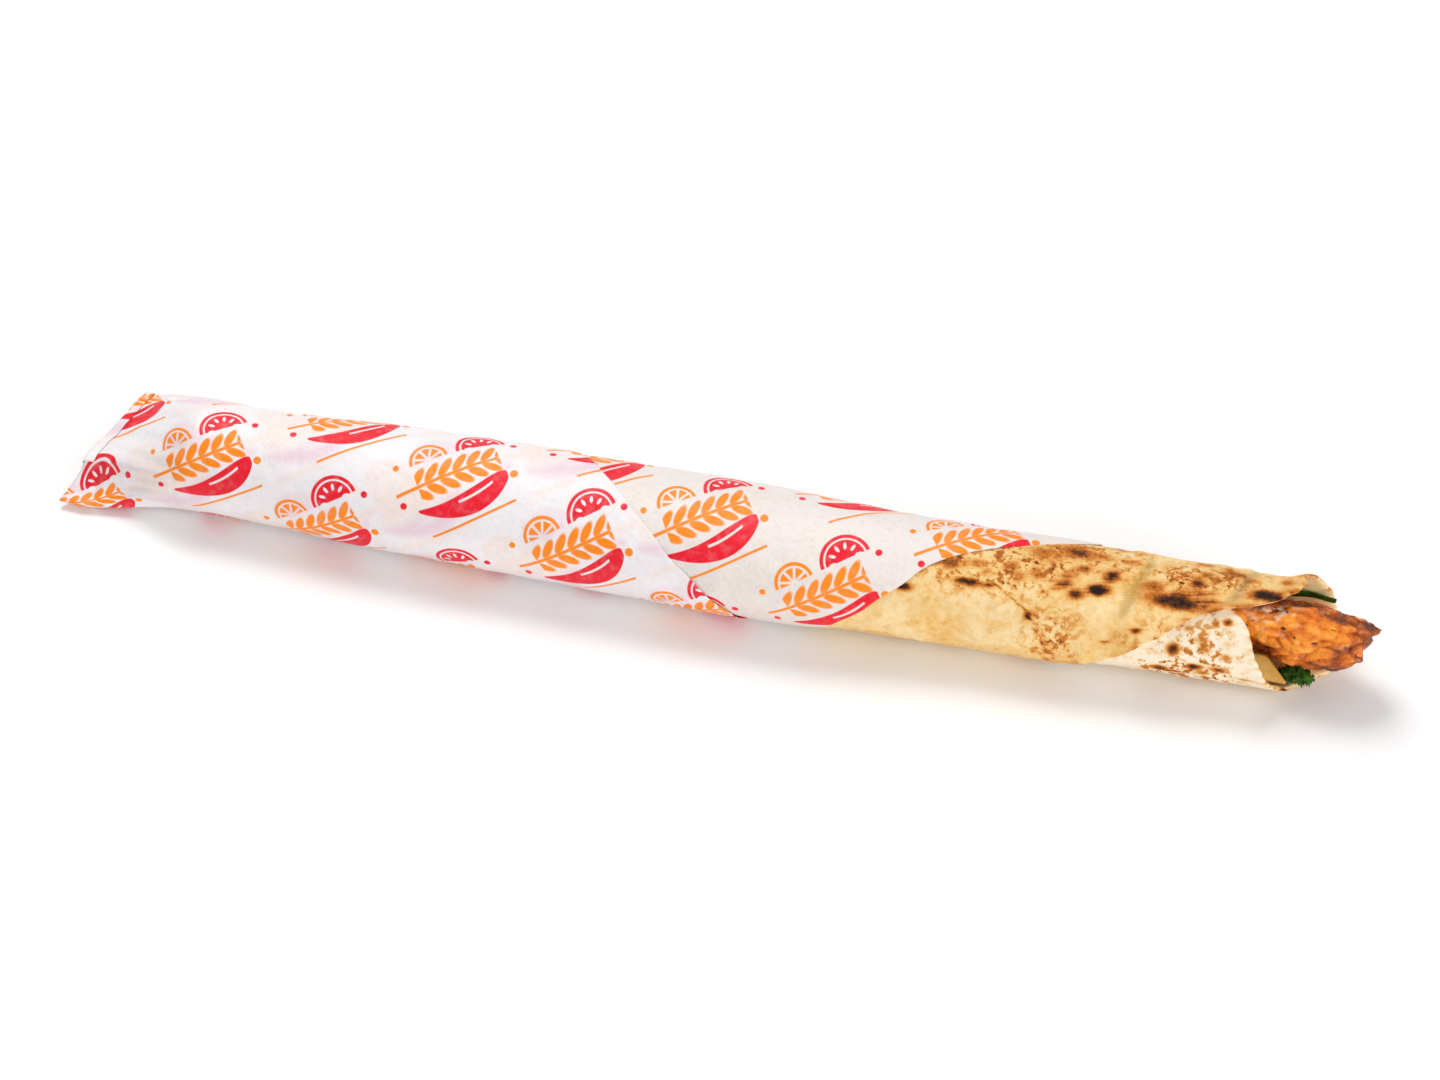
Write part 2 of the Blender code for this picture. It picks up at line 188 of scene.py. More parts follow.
# The same on the paler inner turn
INNER_SPOTS = (
    (150.5, 378, 1.9, 2.6, 0.95), (147, 345, 2.8, 1.6, 0.9), (157.5, 356, 2.4, 1.5, 0.95),
    (165, 356, 2.8, 1.6, 0.75), (166.5, 377, 1.9, 1.6, 0.5), (166.5, 393, 1.4, 1.4, 0.35),
    (165.5, 415, 1.6, 1.3, 0.85), (162, 412, 1.2, 1.6, 0.65), (154, 403, 1.6, 1.4, 0.45),
    (158, 392, 2.6, 1.8, 0.4), (160, 382, 1.8, 1.6, 0.45), (173, 345, 2.8, 1.2, 0.55),
    (150, 341, 3.6, 1.4, 0.7), (160, 347, 2.6, 1.6, 0.5),
)
SPOTS_UNSEEN = 60  # spots scattered over the sides that the photograph doesn't show
SPOTS_LOWEST, SPOTS_HIGHEST = (60, 125, 1.2, 1.0, 0.4), (195, 330, 4.0, 2.6, 1.15)
SPOTS_SEED = 5
RIM_TOAST = 0.45  # how dark the edge of the flatbread is
INNER_TOAST = 0.2  # how much of its spots the inner face of the flatbread shows
# Stretches with many small brown marks: x, angle, half length, half width
SPECKLED = (
    (84, 66, 13, 7), (100, 72, 12, 6), (118, 104, 18, 7), (113, 10, 7, 9), (150, 92, 8, 6),
    (165, 108, 9, 6), (158, 372, 12, 16), (152, 340, 14, 6), (120, 200, 24, 14),
    (165, 250, 20, 12), (146, 30, 7, 6),
)

# Colours, as they are on a screen
CRUST = ("#f6dba6", "#ecbd72", "#cc7826", "#74390f", "#1f1008")
CRUST_STOPS = (0.0, 0.26, 0.5, 0.74, 0.98)
INNER_TURN, INNER_FACE = "#f6ead5", "#ffdc9c"
GROOVE_OLIVE, GROOVE_GREY = "#b8913d", "#a4875a"
PAPER_WHITE, PAPER_OVER_BREAD, PAPER_GREASE = "#f4eff1", "#ece3dd", "#e2d2c2"
PAPER_MOTTLE, PAPER_GRAIN = "#e6dee0", "#d3c4b6"
INK_RED, INK_ORANGE = "#ec0d29", "#ff8b0c"
GHOST_RED, GHOST_ORANGE = "#ebcbd8", "#f7dccb"  # of the print that shows through
MEAT_STOPS = (
    (0.12, "#ffb54a"), (0.32, "#fb962a"), (0.50, "#dd7013"), (0.67, "#9c4509"), (0.9, "#552509"),
)
# The first two are painted highlights on the chicken: pale streaks of sheen, and a pale spot where
# it shines
PAINTED_SHEEN, PAINTED_HIGHLIGHT, HERB, BURNT = "#ffc47a", "#fbdcc0", "#2c3c10", "#1d0f08"
FRY_STOPS = ((0.3, "#dcb95c"), (0.5, "#d0a043"), (0.75, "#b97c27"))
FRY_EDGE = "#c07f22"
LEAF_STOPS = ((0.3, "#142d03"), (0.5, "#234805"), (0.72, "#457514"))
LEAF_VEIN = "#628f2c"
FLOOR_STOPS = ((0.0, "#fbfbfb"), (1.0, "#fefefe"))

PRINT_TURN = 33.0  # degrees by which the rows of the print run against the roll
PRINT_PITCH = (50.0, 37.0)  # from one motif to the next, along and across the rows
PRINT_SHIFT, PRINT_SOFT = (9.0, 4.0), 0.14  # its place, and how soft its outlines are
GHOST_SHIFT, GHOST_SOFT = (21.0, 13.0), 1.6  # the same for the print that shows through

# The camera, in degrees, metres and millimetres
AZIMUTH, ELEVATION = 13.3, 45.0
TARGET, DISTANCE = (0.005, -0.0017, 0.019), 1.071
LENS, SENSOR = 85.0, 36.0
# Lights: name, place and size in metres, power
LIGHTS = (
    ("key", (-0.35, 0.5, 1.1), 0.6, 9.0),
    ("front", (0.7, -0.85, 0.9), 0.7, 3.2),
    ("side", (1.55, -0.9, 0.4), 0.5, 12.0),
)
SURROUND = 0.48  # strength of the even light from all round
FLOOR_HALF = 3.0  # half its side in metres


def curve(position, points):
    """Smooth curve through (position, value) pairs."""
    xs, ys = np.array(points, dtype=float).T
    slopes = np.gradient(ys, xs)
    i = np.clip(np.searchsorted(xs, position) - 1, 0, len(xs) - 2)
    span = xs[i + 1] - xs[i]
    t = np.clip((position - xs[i]) / span, 0, 1)
    start = ys[i] * (2 * t**3 - 3 * t**2 + 1) + slopes[i] * span * (t**3 - 2 * t**2 + t)
    end = ys[i + 1] * (3 * t**2 - 2 * t**3) + slopes[i + 1] * span * (t**3 - t**2)
    return start + end


def ease(low, high, value):
    """0 below low, 1 above high, and a smooth step between."""
    t = np.clip((value - low) / (high - low), 0, 1)
    return t * t * (3 - 2 * t)


def flat_y(angle):
    """Y of the pinched end of the paper."""
    half = (TAIL_Y[2] - TAIL_Y[0]) / 2
    return TAIL_Y[0] + half * (1 - np.cos(np.radians(angle + TAIL_TWIST)))


def tail_x(angle):
    """X of the pinched end, which runs askew."""
    return np.interp(flat_y(angle), TAIL_Y, TAIL_X)


def tail_length(angle):
    """Length from the flat end to where the paper is round."""
    return np.interp(flat_y(angle), TAIL_Y, TAIL_LENGTH)


def underside(x):
    """Height of the flatbread's flattened underside."""
    return PAPERED_UNDERSIDE + ease(BARE_FROM, BARE_TO, x) * (BARE_UNDERSIDE - PAPERED_UNDERSIDE)


def section(x, angle):
    """Y and z of the flatbread's outer face, passing into the flat end of the paper."""
    width, height, middle = (
        curve(x, [(row[0], row[column]) for row in SECTIONS]) for column in (1, 2, 3)
    )
    turn = np.radians(angle)
    round_y = middle - width * np.cos(turn)
    round_z = underside(x) + height - SINK + height * np.sin(turn)
    end_y = flat_y(angle)
    pinch = ease(-tail_length(angle), 0, tail_x(angle) - x)
    end_z = np.interp(end_y, TAIL_Y, TAIL_Z)
    end_z = end_z + TAIL_HALF_GAP * np.sin(np.radians(angle + TAIL_TWIST))
    return round_y + pinch * (end_y - round_y), round_z + pinch * (end_z - round_z)


def ring(x, angle, out):
    """Points outside the flatbread's outer face by the distance out, never below the floor."""
    y, z = section(x, angle)
    before_y, before_z = section(x, angle - 1)
    after_y, after_z = section(x, angle + 1)
    along_y, along_z = after_y - before_y, after_z - before_z
    length = np.hypot(along_y, along_z)
    y = y - out * along_z / length
    z = np.maximum(z + out * along_y / length, np.maximum(underside(x) - out, 0))
    return np.stack(np.broadcast_arrays(x, y, z), axis=-1)


def turns(angle, overlap):
    """How many turns of the same sheet lie between this one and its first."""
    full, part = np.divmod(angle - (overlap - RAMP), 360)
    return full + np.minimum(part / RAMP, 1)


def mouth(x, away, near):
    """Point in the filling: away goes up and to the far side, near goes up and to the near side."""
    y = MOUTH_Y + (away - near) * SLANT
    z = MOUTH_Z + (away + near) * SLANT
    return np.stack(np.broadcast_arrays(x, y, z), axis=-1)


def smooth_noise(points, size, seed):
    """Noise from -1 to 1 at points in millimetres, with lumps about as large as size."""
    where = points / np.asarray(size, dtype=float) + 17.3 * seed
    flat = [noise.noise(Vector(point)) for point in where.reshape(-1, 3)]
    return np.array(flat).reshape(points.shape[:-1])


def on_roll(x, angle):
    """Points of a plain cylinder, the same for each turn, from which sheets take their noise."""
    turn = np.radians(angle)
    y, z = -MEAN_RADIUS * np.cos(turn), MEAN_RADIUS * np.sin(turn)
    return np.stack(np.broadcast_arrays(x, y, z), axis=-1)


def flat_map(x, angle, shift=(0.0, 0.0)):
    """Millimetres along and around the roll, for the flat map of a rolled sheet."""
    around = np.radians(angle) * MEAN_RADIUS
    return np.stack(np.broadcast_arrays(x + shift[0], around + shift[1]), axis=-1)


def on_first_turn(angle):
    """The angle on the paper's first turn at the same place round the roll."""
    return (angle - PAPER_FROM) % 360 + PAPER_FROM


def spot(x, angle, middle_x, middle_angle, half_length, half_width):
    """Soft oval spot on a rolled sheet, 1 in its middle."""
    across = np.radians(angle - middle_angle) * MEAN_RADIUS
    reach = ((x - middle_x) / half_length) ** 2 + (across / half_width) ** 2
    return np.exp(-0.7 * reach)


def colour(code):
    """Linear colour from a screen colour such as #f0d9a6."""
    parts = np.array([int(code[i:i + 2], 16) / 255 for i in (1, 3, 5)])
    linear = np.where(parts > 0.04045, ((parts + 0.055) / 1.055) ** 2.4, parts / 12.92)
    return (*linear, 1.0)


def make_mesh(name, points, faces, fields=None, plane=None):
    """Smooth mesh object from points in millimetres, with numbers and a flat map on its points."""
    mesh = bpy.data.meshes.new(name)
    mesh.from_pydata((points * MM).tolist(), [], [list(face) for face in faces])
    mesh.shade_smooth()
    for field, values in (fields or {}).items():
        layer = mesh.attributes.new(field, "FLOAT", "POINT")
        layer.data.foreach_set("value", np.asarray(values, dtype=np.float32).ravel())
    if plane is not None:
        corners = np.empty(len(mesh.loops), dtype=np.int32)
        mesh.loops.foreach_get("vertex_index", corners)
        mesh.uv_layers.new(name="flat").data.foreach_set("uv", plane[corners].ravel())
    obj = bpy.data.objects.new(name, mesh)
    bpy.context.scene.collection.objects.link(obj)
    return obj


def shell_faces(rows, columns):
    """Faces of a closed thin solid: an outer grid, an inner grid after it, and the rim."""
    count = rows * columns
    index = np.arange(count).reshape(rows, columns)
    a, b, c, d = index[:-1, :-1], index[1:, :-1], index[1:, 1:], index[:-1, 1:]
    outer = np.stack([a, b, c, d], axis=-1).reshape(-1, 4)
    inner = outer[:, ::-1] + count
    loop = np.concatenate([index[:, 0], index[-1, 1:], index[-2::-1, -1], index[0, -2:0:-1]])
    ahead = np.roll(loop, -1)
    rim = np.stack([ahead, loop, loop + count, ahead + count], axis=-1)
    return np.concatenate([outer, inner, rim])


def shell(name, outer, inner, fields=None, plane=None):
    """Closed thin solid between two grids of points. Fields are given for one grid or for both."""
    rows, columns = outer.shape[:2]
    points = np.concatenate([outer.reshape(-1, 3), inner.reshape(-1, 3)])
    both = {
        key: values if np.size(values) == len(points) else np.tile(np.ravel(values), 2)
        for key, values in (fields or {}).items()
    }
    if plane is not None:
        plane = np.tile(plane.reshape(-1, 2), (2, 1))
    return make_mesh(name, points, shell_faces(rows, columns), both, plane)


def tube_faces(rows, columns):
    """Faces of a closed round solid whose rings run along it, with a point at each end."""
    index = np.arange(rows * columns).reshape(rows, columns)
    ahead = np.roll(index, -1, axis=1)
    sides = np.stack([index[:-1], index[1:], ahead[1:], ahead[:-1]], axis=-1).reshape(-1, 4)
    first, last = rows * columns, rows * columns + 1
    start = [(first, index[0, j], ahead[0, j]) for j in range(columns)]
    end = [(last, ahead[-1, j], index[-1, j]) for j in range(columns)]
    return sides.tolist() + start + end


class Number:
    """A number in a node tree. Arithmetic on it adds math nodes to the tree."""

    def __init__(self, tree, socket):
        self.tree = tree
        self.socket = socket

    def math(self, operation, *others):
        """Result of a math node on this number and others."""
        node = self.tree.nodes.new("ShaderNodeMath")
        node.operation = operation
        self.tree.links.new(self.socket, node.inputs[0])
        for other, entry in zip(others, node.inputs[1:]):
            if isinstance(other, Number):
                self.tree.links.new(other.socket, entry)
            else:
                entry.default_value = other
        return Number(self.tree, node.outputs[0])

    def __add__(self, other):
        return self.math("ADD", other)

    def __sub__(self, other):
        return self.math("SUBTRACT", other)

    def __mul__(self, other):
        return self.math("MULTIPLY", other)

    def __truediv__(self, other):
        return self.math("DIVIDE", other)

    def __abs__(self):
        return self.math("ABSOLUTE")

    def square(self):
        return self * self

    def root(self):
        return self.math("MAXIMUM", 0.0).math("SQRT")

    def lower(self, other):
        return self.math("MINIMUM", other)

    def higher(self, other):
        return self.math("MAXIMUM", other)

    def between(self, low, high):
        """0 below low and 1 above high, with a straight rise between. Low may be above high."""
        node = self.tree.nodes.new("ShaderNodeMapRange")
        self.tree.links.new(self.socket, node.inputs["Value"])
        for name, value in (("From Min", low), ("From Max", high)):
            if isinstance(value, Number):
                self.tree.links.new(value.socket, node.inputs[name])
            else:
                node.inputs[name].default_value = value
        return Number(self.tree, node.outputs["Result"])


class Material:
    """A Principled material under construction."""

    def __init__(self, name, roughness=0.5, **sockets):
        self.material = bpy.data.materials.new(name)
        self.material.use_nodes = True
        self.tree = self.material.node_tree
        self.shader = self.tree.nodes["Principled BSDF"]
        self.shader.inputs["Roughness"].default_value = roughness
        for socket, value in sockets.items():
            self.shader.inputs[socket.replace("_", " ")].default_value = value

    def node(self, kind, **settings):
        node = self.tree.nodes.new(kind)
        for key, value in settings.items():
            setattr(node, key, value)
        return node

    def field(self, name):
        """A number kept on the mesh's points."""
        node = self.node("ShaderNodeAttribute", attribute_name=name)
        return Number(self.tree, node.outputs["Fac"])

    def place(self):
        """The point's place in the row's frame."""
        return self.node("ShaderNodeTexCoord").outputs["Object"]

    def unrolled(self):
        """Millimetres along and around the roll, from the flat map of a rolled sheet."""
        flat = self.node("ShaderNodeUVMap", uv_map="flat")
        parts = self.node("ShaderNodeSeparateXYZ")
        self.tree.links.new(flat.outputs["UV"], parts.inputs["Vector"])
        return Number(self.tree, parts.outputs["X"]), Number(self.tree, parts.outputs["Y"])

    def stretched(self, scale):
        """The place, drawn out by three factors."""
        node = self.node("ShaderNodeMapping")
        node.inputs["Scale"].default_value = scale
        self.tree.links.new(self.place(), node.inputs["Vector"])
        return node.outputs["Vector"]

    def noise(self, size, detail=2.0, roughness=0.5, where=None):
        """Noise from 0 to 1 whose lumps are about as many millimetres large as size."""
        node = self.node("ShaderNodeTexNoise")
        node.inputs["Scale"].default_value = 1 / (size * MM)
        node.inputs["Detail"].default_value = detail
        node.inputs["Roughness"].default_value = roughness
        self.tree.links.new(where or self.place(), node.inputs["Vector"])
        return Number(self.tree, node.outputs["Fac"])

    def cells(self, size, feature="F1", where=None):
        """Distance to the nearest of scattered points, about size millimetres apart."""
        node = self.node("ShaderNodeTexVoronoi", feature=feature)
        node.inputs["Scale"].default_value = 1 / (size * MM)
        self.tree.links.new(where or self.place(), node.inputs["Vector"])
        return Number(self.tree, node.outputs["Distance"])

    def ramp(self, number, stops):
        """Colour read off a row of (position, colour) stops."""
        node = self.node("ShaderNodeValToRGB")
        elements = node.color_ramp.elements
        while len(elements) < len(stops):
            elements.new(0.5)
        for element, (position, code) in zip(elements, stops):
            element.position = position
            element.color = colour(code)
        self.tree.links.new(number.socket, node.inputs["Fac"])
        return node.outputs["Color"]

    def mix(self, number, first, second):
        """Second colour laid over the first where the number is 1. A colour may be a code."""
        node = self.node("ShaderNodeMix", data_type="RGBA")
        self.tree.links.new(number.socket, node.inputs["Factor"])
        for value, entry in ((first, node.inputs[6]), (second, node.inputs[7])):
            if isinstance(value, str):
                entry.default_value = colour(value)
            else:
                self.tree.links.new(value, entry)
        return node.outputs[2]

    def finish(self, base, roughness=None, height=None, depth=1.0):
        """Join colour, roughness and a relief of the given depth, in millimetres, to the shader."""
        self.tree.links.new(base, self.shader.inputs["Base Color"])
        if roughness is not None:
            self.tree.links.new(roughness.socket, self.shader.inputs["Roughness"])
        if height is not None:
            bump = self.node("ShaderNodeBump")
            bump.inputs["Strength"].default_value = 1.0
            bump.inputs["Distance"].default_value = depth * MM
            self.tree.links.new(height.socket, bump.inputs["Height"])
            self.tree.links.new(bump.outputs["Normal"], self.shader.inputs["Normal"])
        return self.material


def print_places(paper, shift):
    """Place in the repeat of the print, in millimetres from the middle of its motif."""
    x, around = paper.unrolled()
    x, around = x + shift[0], around + shift[1]
    cos_turn, sin_turn = np.cos(np.radians(PRINT_TURN)), np.sin(np.radians(PRINT_TURN))
    along = (x * cos_turn + around * sin_turn) / PRINT_PITCH[0]
    across = (around * cos_turn - x * sin_turn) / PRINT_PITCH[1]
    row = across.math("FLOOR")
    along = along + row * 0.5
    return (
        (along.math("FRACT") - 0.5) * PRINT_PITCH[0],
        (across.math("FRACT") - 0.5) * PRINT_PITCH[1],
    )


def inside(distance, soft):
    """1 where a distance from an outline is below 0, with an edge as soft as given."""
    return distance.between(soft, -soft)


def chilli(along, across, soft):
    """Bent pod that narrows to its tip, with a pale gloss line along it."""
    spine = across - (along.square() * 0.017 - 1.2)
    half = (along.square() * (-1 / 15.5**2) + 1).root() * (along * 0.12 + 3.6)
    pod = inside(abs(spine) - half, soft) * inside(abs(along) - 15.2, soft)
    gloss = inside(abs(spine - 1.5) - 0.4, soft) * inside(abs(along - 4) - 6, soft)
    return pod * (gloss * -1.0 + 1.0)


def ear(along, across, soft):
    """Ear of wheat: two rows of slanting grains on a stalk."""
    side = abs(across)
    step = (along - side * 0.8).math("WRAP", 2.3, -2.3)
    grain = ((step / 1.9).square() + ((side - 2.8) / 2.6).square()).root() - 1
    grains = inside(grain, soft) * inside(abs(along - 1) - 13.5, soft)
    stalk = inside(side - 0.55, soft) * inside(abs(along + 3) - 17, soft)
    return grains.higher(stalk)


def tomato(along, across, soft):
    """Half slice with its skin set off by a pale line, and a row of pale seeds."""
    radius = (along.square() + across.square()).root()
    angle = across.math("ARCTAN2", along).math("WRAP", 0.3142, -0.3142)
    seed = (((radius - 4.2) / 1.1).square() + (angle * radius / 0.5).square()).root() - 1
    line = abs(radius - 6.5) - 0.3
    pale = inside(seed.lower(line), soft)
    return inside(radius - 8.0, soft) * inside(across * -1.0, soft) * (pale * -1.0 + 1.0)


def lemon(along, across, soft):
    """Half slice with its rind and wedges of flesh."""
    radius = (along.square() + across.square()).root()
    angle = across.math("ARCTAN2", along).math("WRAP", 0.3927, -0.3927)
    rind = inside(abs(radius - 5.7) - 0.55, soft)
    flesh = inside(radius - 4.5, soft) * inside(abs(angle) * radius - radius * 0.3927 + 0.4, soft)
    return rind.higher(flesh) * inside(across * -1.0, soft)


def dot(along, across, middle, radius, soft):
    """Round dot."""
    far = ((along - middle[0]).square() + (across - middle[1]).square()).root()
    return inside(far - radius, soft)


def print_masks(paper, shift, soft):
    """Where the print is red and where it is orange."""
    along, across = print_places(paper, shift)
    red = chilli(along, across + 9.8, soft)
    red = red.higher(tomato(along - 10.5, across - 7.2, soft))
    red = red.higher(dot(along, across, (-19.0, -3.5), 1.1, soft))
    red = red.higher(dot(along, across, (20.5, 5.0), 1.1, soft))
    orange = ear(along, across, soft)
    orange = orange.higher(lemon(along + 6.5, across - 7.2, soft))
    line = inside(abs(across + 16.3) - 0.4, soft) * inside(abs(along) - 15, soft)
    orange = orange.higher(line)
    orange = orange.higher(dot(along, across, (-17.0, 8.5), 1.0, soft))
    orange = orange.higher(dot(along, across, (17.0, -8.0), 1.3, soft))
    return red, orange


def paper_material():
    """Thin greaseproof paper, printed, with the layer below showing faintly where it is double."""
    paper = Material("greaseproof_paper", roughness=0.48, Specular_IOR_Level=0.35)
    double = paper.field("double")
    mottle = paper.noise(16, detail=3).between(0.35, 0.75)
    grease = paper.noise(28, detail=4, roughness=0.6).between(0.5, 0.8) * (double * -0.75 + 1.0)
    base = paper.mix(double, PAPER_OVER_BREAD, PAPER_WHITE)
    base = paper.mix(mottle * 0.4, base, PAPER_MOTTLE)
    base = paper.mix(grease * 0.6, base, PAPER_GREASE)
    grain = paper.noise(1.8, detail=4, roughness=0.7).between(0.5, 0.72) * (double * -0.5 + 1.0)
    base = paper.mix(grain * 0.4, base, PAPER_GRAIN)
    red, orange = print_masks(paper, GHOST_SHIFT, GHOST_SOFT)
    base = paper.mix(red * double * 0.75, base, GHOST_RED)
    base = paper.mix(orange * double * 0.75, base, GHOST_ORANGE)
    wear = paper.noise(2.5, detail=3).between(0.2, 0.5) * 0.12 + 0.88
    red, orange = print_masks(paper, PRINT_SHIFT, PRINT_SOFT)
    base = paper.mix(orange * wear, base, INK_ORANGE)
    base = paper.mix(red * wear, base, INK_RED)
    fibre = paper.noise(0.6, detail=3) * 0.3
    creases = paper.cells(13, feature="DISTANCE_TO_EDGE").between(0.0, 0.12) * 0.22
    height = paper.noise(5, detail=4, roughness=0.6) * 1.4 + fibre + creases
    roughness = paper.noise(7, detail=2) * 0.25 + 0.38
    return paper.finish(base, roughness, height, 0.36)


def paper_relief(x, angle):
    """Soft crumples, which turn into folds towards the pinched end."""
    place = on_roll(x, angle)
    wide = smooth_noise(place, (26, 17, 17), 1)
    small = 1 - 2 * np.abs(smooth_noise(place, (15, 9, 9), 2))
    pinch = ease(-1.5 * tail_length(angle), 0, tail_x(angle) - x)
    folds = 1 - 3 * np.abs(smooth_noise(place, (60, 5.5, 5.5), 3))
    folds = TAIL_FOLDS * pinch * (1 - 0.6 * pinch) * folds
    return WIDE_CRUMPLES * wide + SMALL_CRUMPLES * small + folds


def crease_form(x, angle):
    """Height of the sharp crease along the tail, the hollow below it and the near corner's dent."""
    tail = ease(CREASE_FROM, CREASE_FULL, x)
    beside = np.radians(angle - CREASE_ANGLE) * MEAN_RADIUS
    ridge = np.exp(np.where(beside > 0, -beside / CREASE_ABOVE, beside / CREASE_BELOW))
    below = spot(x, angle, *HOLLOW)
    near_face = ease(CREASE_ANGLE + 4, CREASE_ANGLE - 8, angle)
    dent = np.exp(-((x - DENT_X) / DENT_WIDTH) ** 2) * near_face
    return tail * (CREASE_HEIGHT * ridge - HOLLOW_DEPTH * below - DENT_DEPTH * dent)


def paper_creases(x, angle):
    """The crease on the top of the tail, which the paper below follows where the end is flat."""
    first_turn = on_first_turn(angle)
    from_top = np.abs(first_turn - 45)
    mirrored = np.where(first_turn > 135, 270, -90) - first_turn
    above = np.where(from_top < 90, first_turn, mirrored)
    follows = -ease(16, 2, x - tail_x(angle))
    side = np.where(from_top < 90, 1, follows) * ease(0, 10, np.abs(from_top - 90))
    return side * crease_form(x, above)


def paper_out(x, angle, edge):
    """Distance of the paper's outer face from the flatbread, close to it along the edge."""
    plain = PAPER_PITCH * (1 + turns(angle, PAPER_OVERLAP))
    waves = EDGE_WAVES * smooth_noise(on_roll(x, angle), 14, 4)
    lift = waves - EDGE_PRESSED * ease(300, 270, angle)
    out = plain + paper_relief(x, angle) + paper_creases(x, angle)
    pressed = 1 - 0.55 * ease(10, 0, x - tail_x(angle))
    smoothed = 1 - 0.6 * np.exp(-(edge - x) / 6)
    at_edge = np.exp(-(edge - x) / 5)
    return plain + (out - plain) * smoothed + plain * (pressed - 1) + lift * at_edge


def paper_grid():
    """X and angle of the paper's points, and x of its right-hand edge."""
    angle = np.linspace(PAPER_FROM, PAPER_TO, PAPER_COLUMNS)[None, :]
    edge = curve(angle, PAPER_EDGE) + 0.6 * np.sin(angle / 17) + 0.3 * np.sin(angle / 5.3)
    tail, length = tail_x(angle), tail_length(angle)
    first = tail + length * np.linspace(0, 1, PAPER_TAIL_ROWS)[:, None]
    rest = np.linspace(0, 1, PAPER_ROWS + 1)[1:, None]
    x = np.concatenate([first, tail + length + rest * (edge - tail - length)])
    return x, np.broadcast_to(angle, x.shape), np.broadcast_to(edge, x.shape)


def make_paper(material):
    """The printed paper, wound outwards round the roll."""
    x, angle, edge = paper_grid()
    out = paper_out(x, angle, edge)
    outer, inner = ring(x, angle, out), ring(x, angle, out - PAPER)
    fields = {"double": ease(275, 300, angle)}
    obj = shell("paper_wrap", outer, inner, fields, flat_map(x, angle))
    dress(obj, material, "paper")


def hem_surface(angle, lift):
    """Rows of the hem: along the top of the flat end, round its edge and back underneath."""
    under = 270 - angle
    under = np.where(under + 360 <= PAPER_TO, under + 360, under)
    far_edge = np.full(angle.shape, 100.0)
    rows = []
    for to_end, share, more in HEM_PATH:
        x = tail_x(angle) + to_end - lift * (to_end < 0)
        top = ring(x, angle, paper_out(x, angle + 360, far_edge) + lift + more)
        bottom = ring(x, under, paper_out(x, under, far_edge) + lift + more)
        rows.append(top + share * (bottom - top))
    return np.stack(rows)


def make_hem(material):
    """Narrow strip of the paper folded up over its pinched end."""
    angle = np.linspace(HEM_FROM, HEM_TO, HEM_COLUMNS)
    outer, inner = hem_surface(angle, HEM_LIFT), hem_surface(angle, HEM_LIFT - PAPER)
    fields = {"double": np.ones(outer.shape[:2])}
    obj = shell("paper_hem", outer, inner, fields, flat_map(outer[..., 0], angle, HEM_SHIFT))
    dress(obj, material)


def scattered_spots():
    """Charred spots for the sides of the flatbread that the photograph doesn't show."""
    random = np.random.default_rng(SPOTS_SEED)
    return [random.uniform(SPOTS_LOWEST, SPOTS_HIGHEST) for _ in range(SPOTS_UNSEEN)]


def bread_toast(x, angle):
    """How dark the crust is: 0 is pale and 1 charred."""
    toast = np.zeros(x.shape)
    for *place, dark in (*SPOTS, *INNER_SPOTS, *scattered_spots()):
        toast = np.maximum(toast, dark * spot(x, angle, *place))
    return toast


def bread_grooves(x, angle):
    """Shallow grooves that cross the top of the roll, each 1 along its middle."""
    grooves = []
    for angles, places, half, fades_in, fades_out in GROOVES:
        beside = np.abs(x - np.interp(angle, angles, places))
        fade = ease(*fades_in, angle) * ease(*fades_out, angle)
        grooves.append(np.exp(-(beside / half) ** 4) * fade)
    return grooves


def bread_relief(x, angle):
    """Blisters, soft waves and the grooves of the flatbread."""
    place = on_roll(x, angle)
    waves = smooth_noise(place, (22, 12, 12), 6)
    blisters = ease(0.1, 0.75, smooth_noise(place, (5.5, 4.5, 4.5), 7))
    grooves = sum(bread_grooves(x, angle))
    bare = ease(-4, 4, x - curve(on_first_turn(angle), PAPER_EDGE))
    wrinkles = 1 - 3 * np.abs(smooth_noise(place, (16, 6, 6), 8))
    relief = WAVES * waves + WRINKLES * wrinkles + BLISTERS * blisters - GROOVE_DEPTH * grooves
    return relief * (0.1 + 0.9 * bare)


def bread_lift(x, angle, edge):
    """How far the edge stands out: the seam a little, and the lip at the top rolled outwards."""
    seam = SEAM_LIFT * np.exp(-(edge - x) / SEAM_REACH) * ease(-60, 0, angle)
    lip = spot(x, angle, edge, LIP_ANGLE, LIP_LENGTH, LIP_WIDTH)
    return (seam + LIP_LIFT * lip) * ease(300, 270, angle)


def bread_grid():
    """X and angle of the flatbread's points, and x of its right-hand edge."""
    angle = np.linspace(BREAD_FROM, BREAD_TO, BREAD_COLUMNS)[None, :]
    ragged = 0.5 * np.sin(angle / 11) + 0.35 * np.sin(angle / 4.1) + 0.2 * np.sin(angle / 1.9)
    ragged = ragged * (1 - 0.7 * ease(310, 335, angle))
    middle, half, extra = EDGE_UNDERNEATH
    plain = curve(angle, BREAD_EDGE) - 0.1 + extra * np.exp(-((angle - middle) / half) ** 2)
    split = np.minimum(BREAD_HIDDEN_TO, plain - 20)
    hidden = BREAD_END + np.linspace(0, 1, BREAD_HIDDEN_ROWS)[:, None] * (split - BREAD_END)
    share = np.linspace(0, 1, BREAD_ROWS - 2)[1:]
    share = np.concatenate([share[:-1], 1 - np.array(BREAD_LAST_ROWS)])[:, None]
    x = np.concatenate([hidden, split + share * (plain - split) + ragged * share**8])
    return x, np.broadcast_to(angle, x.shape), np.broadcast_to(plain + ragged, x.shape)


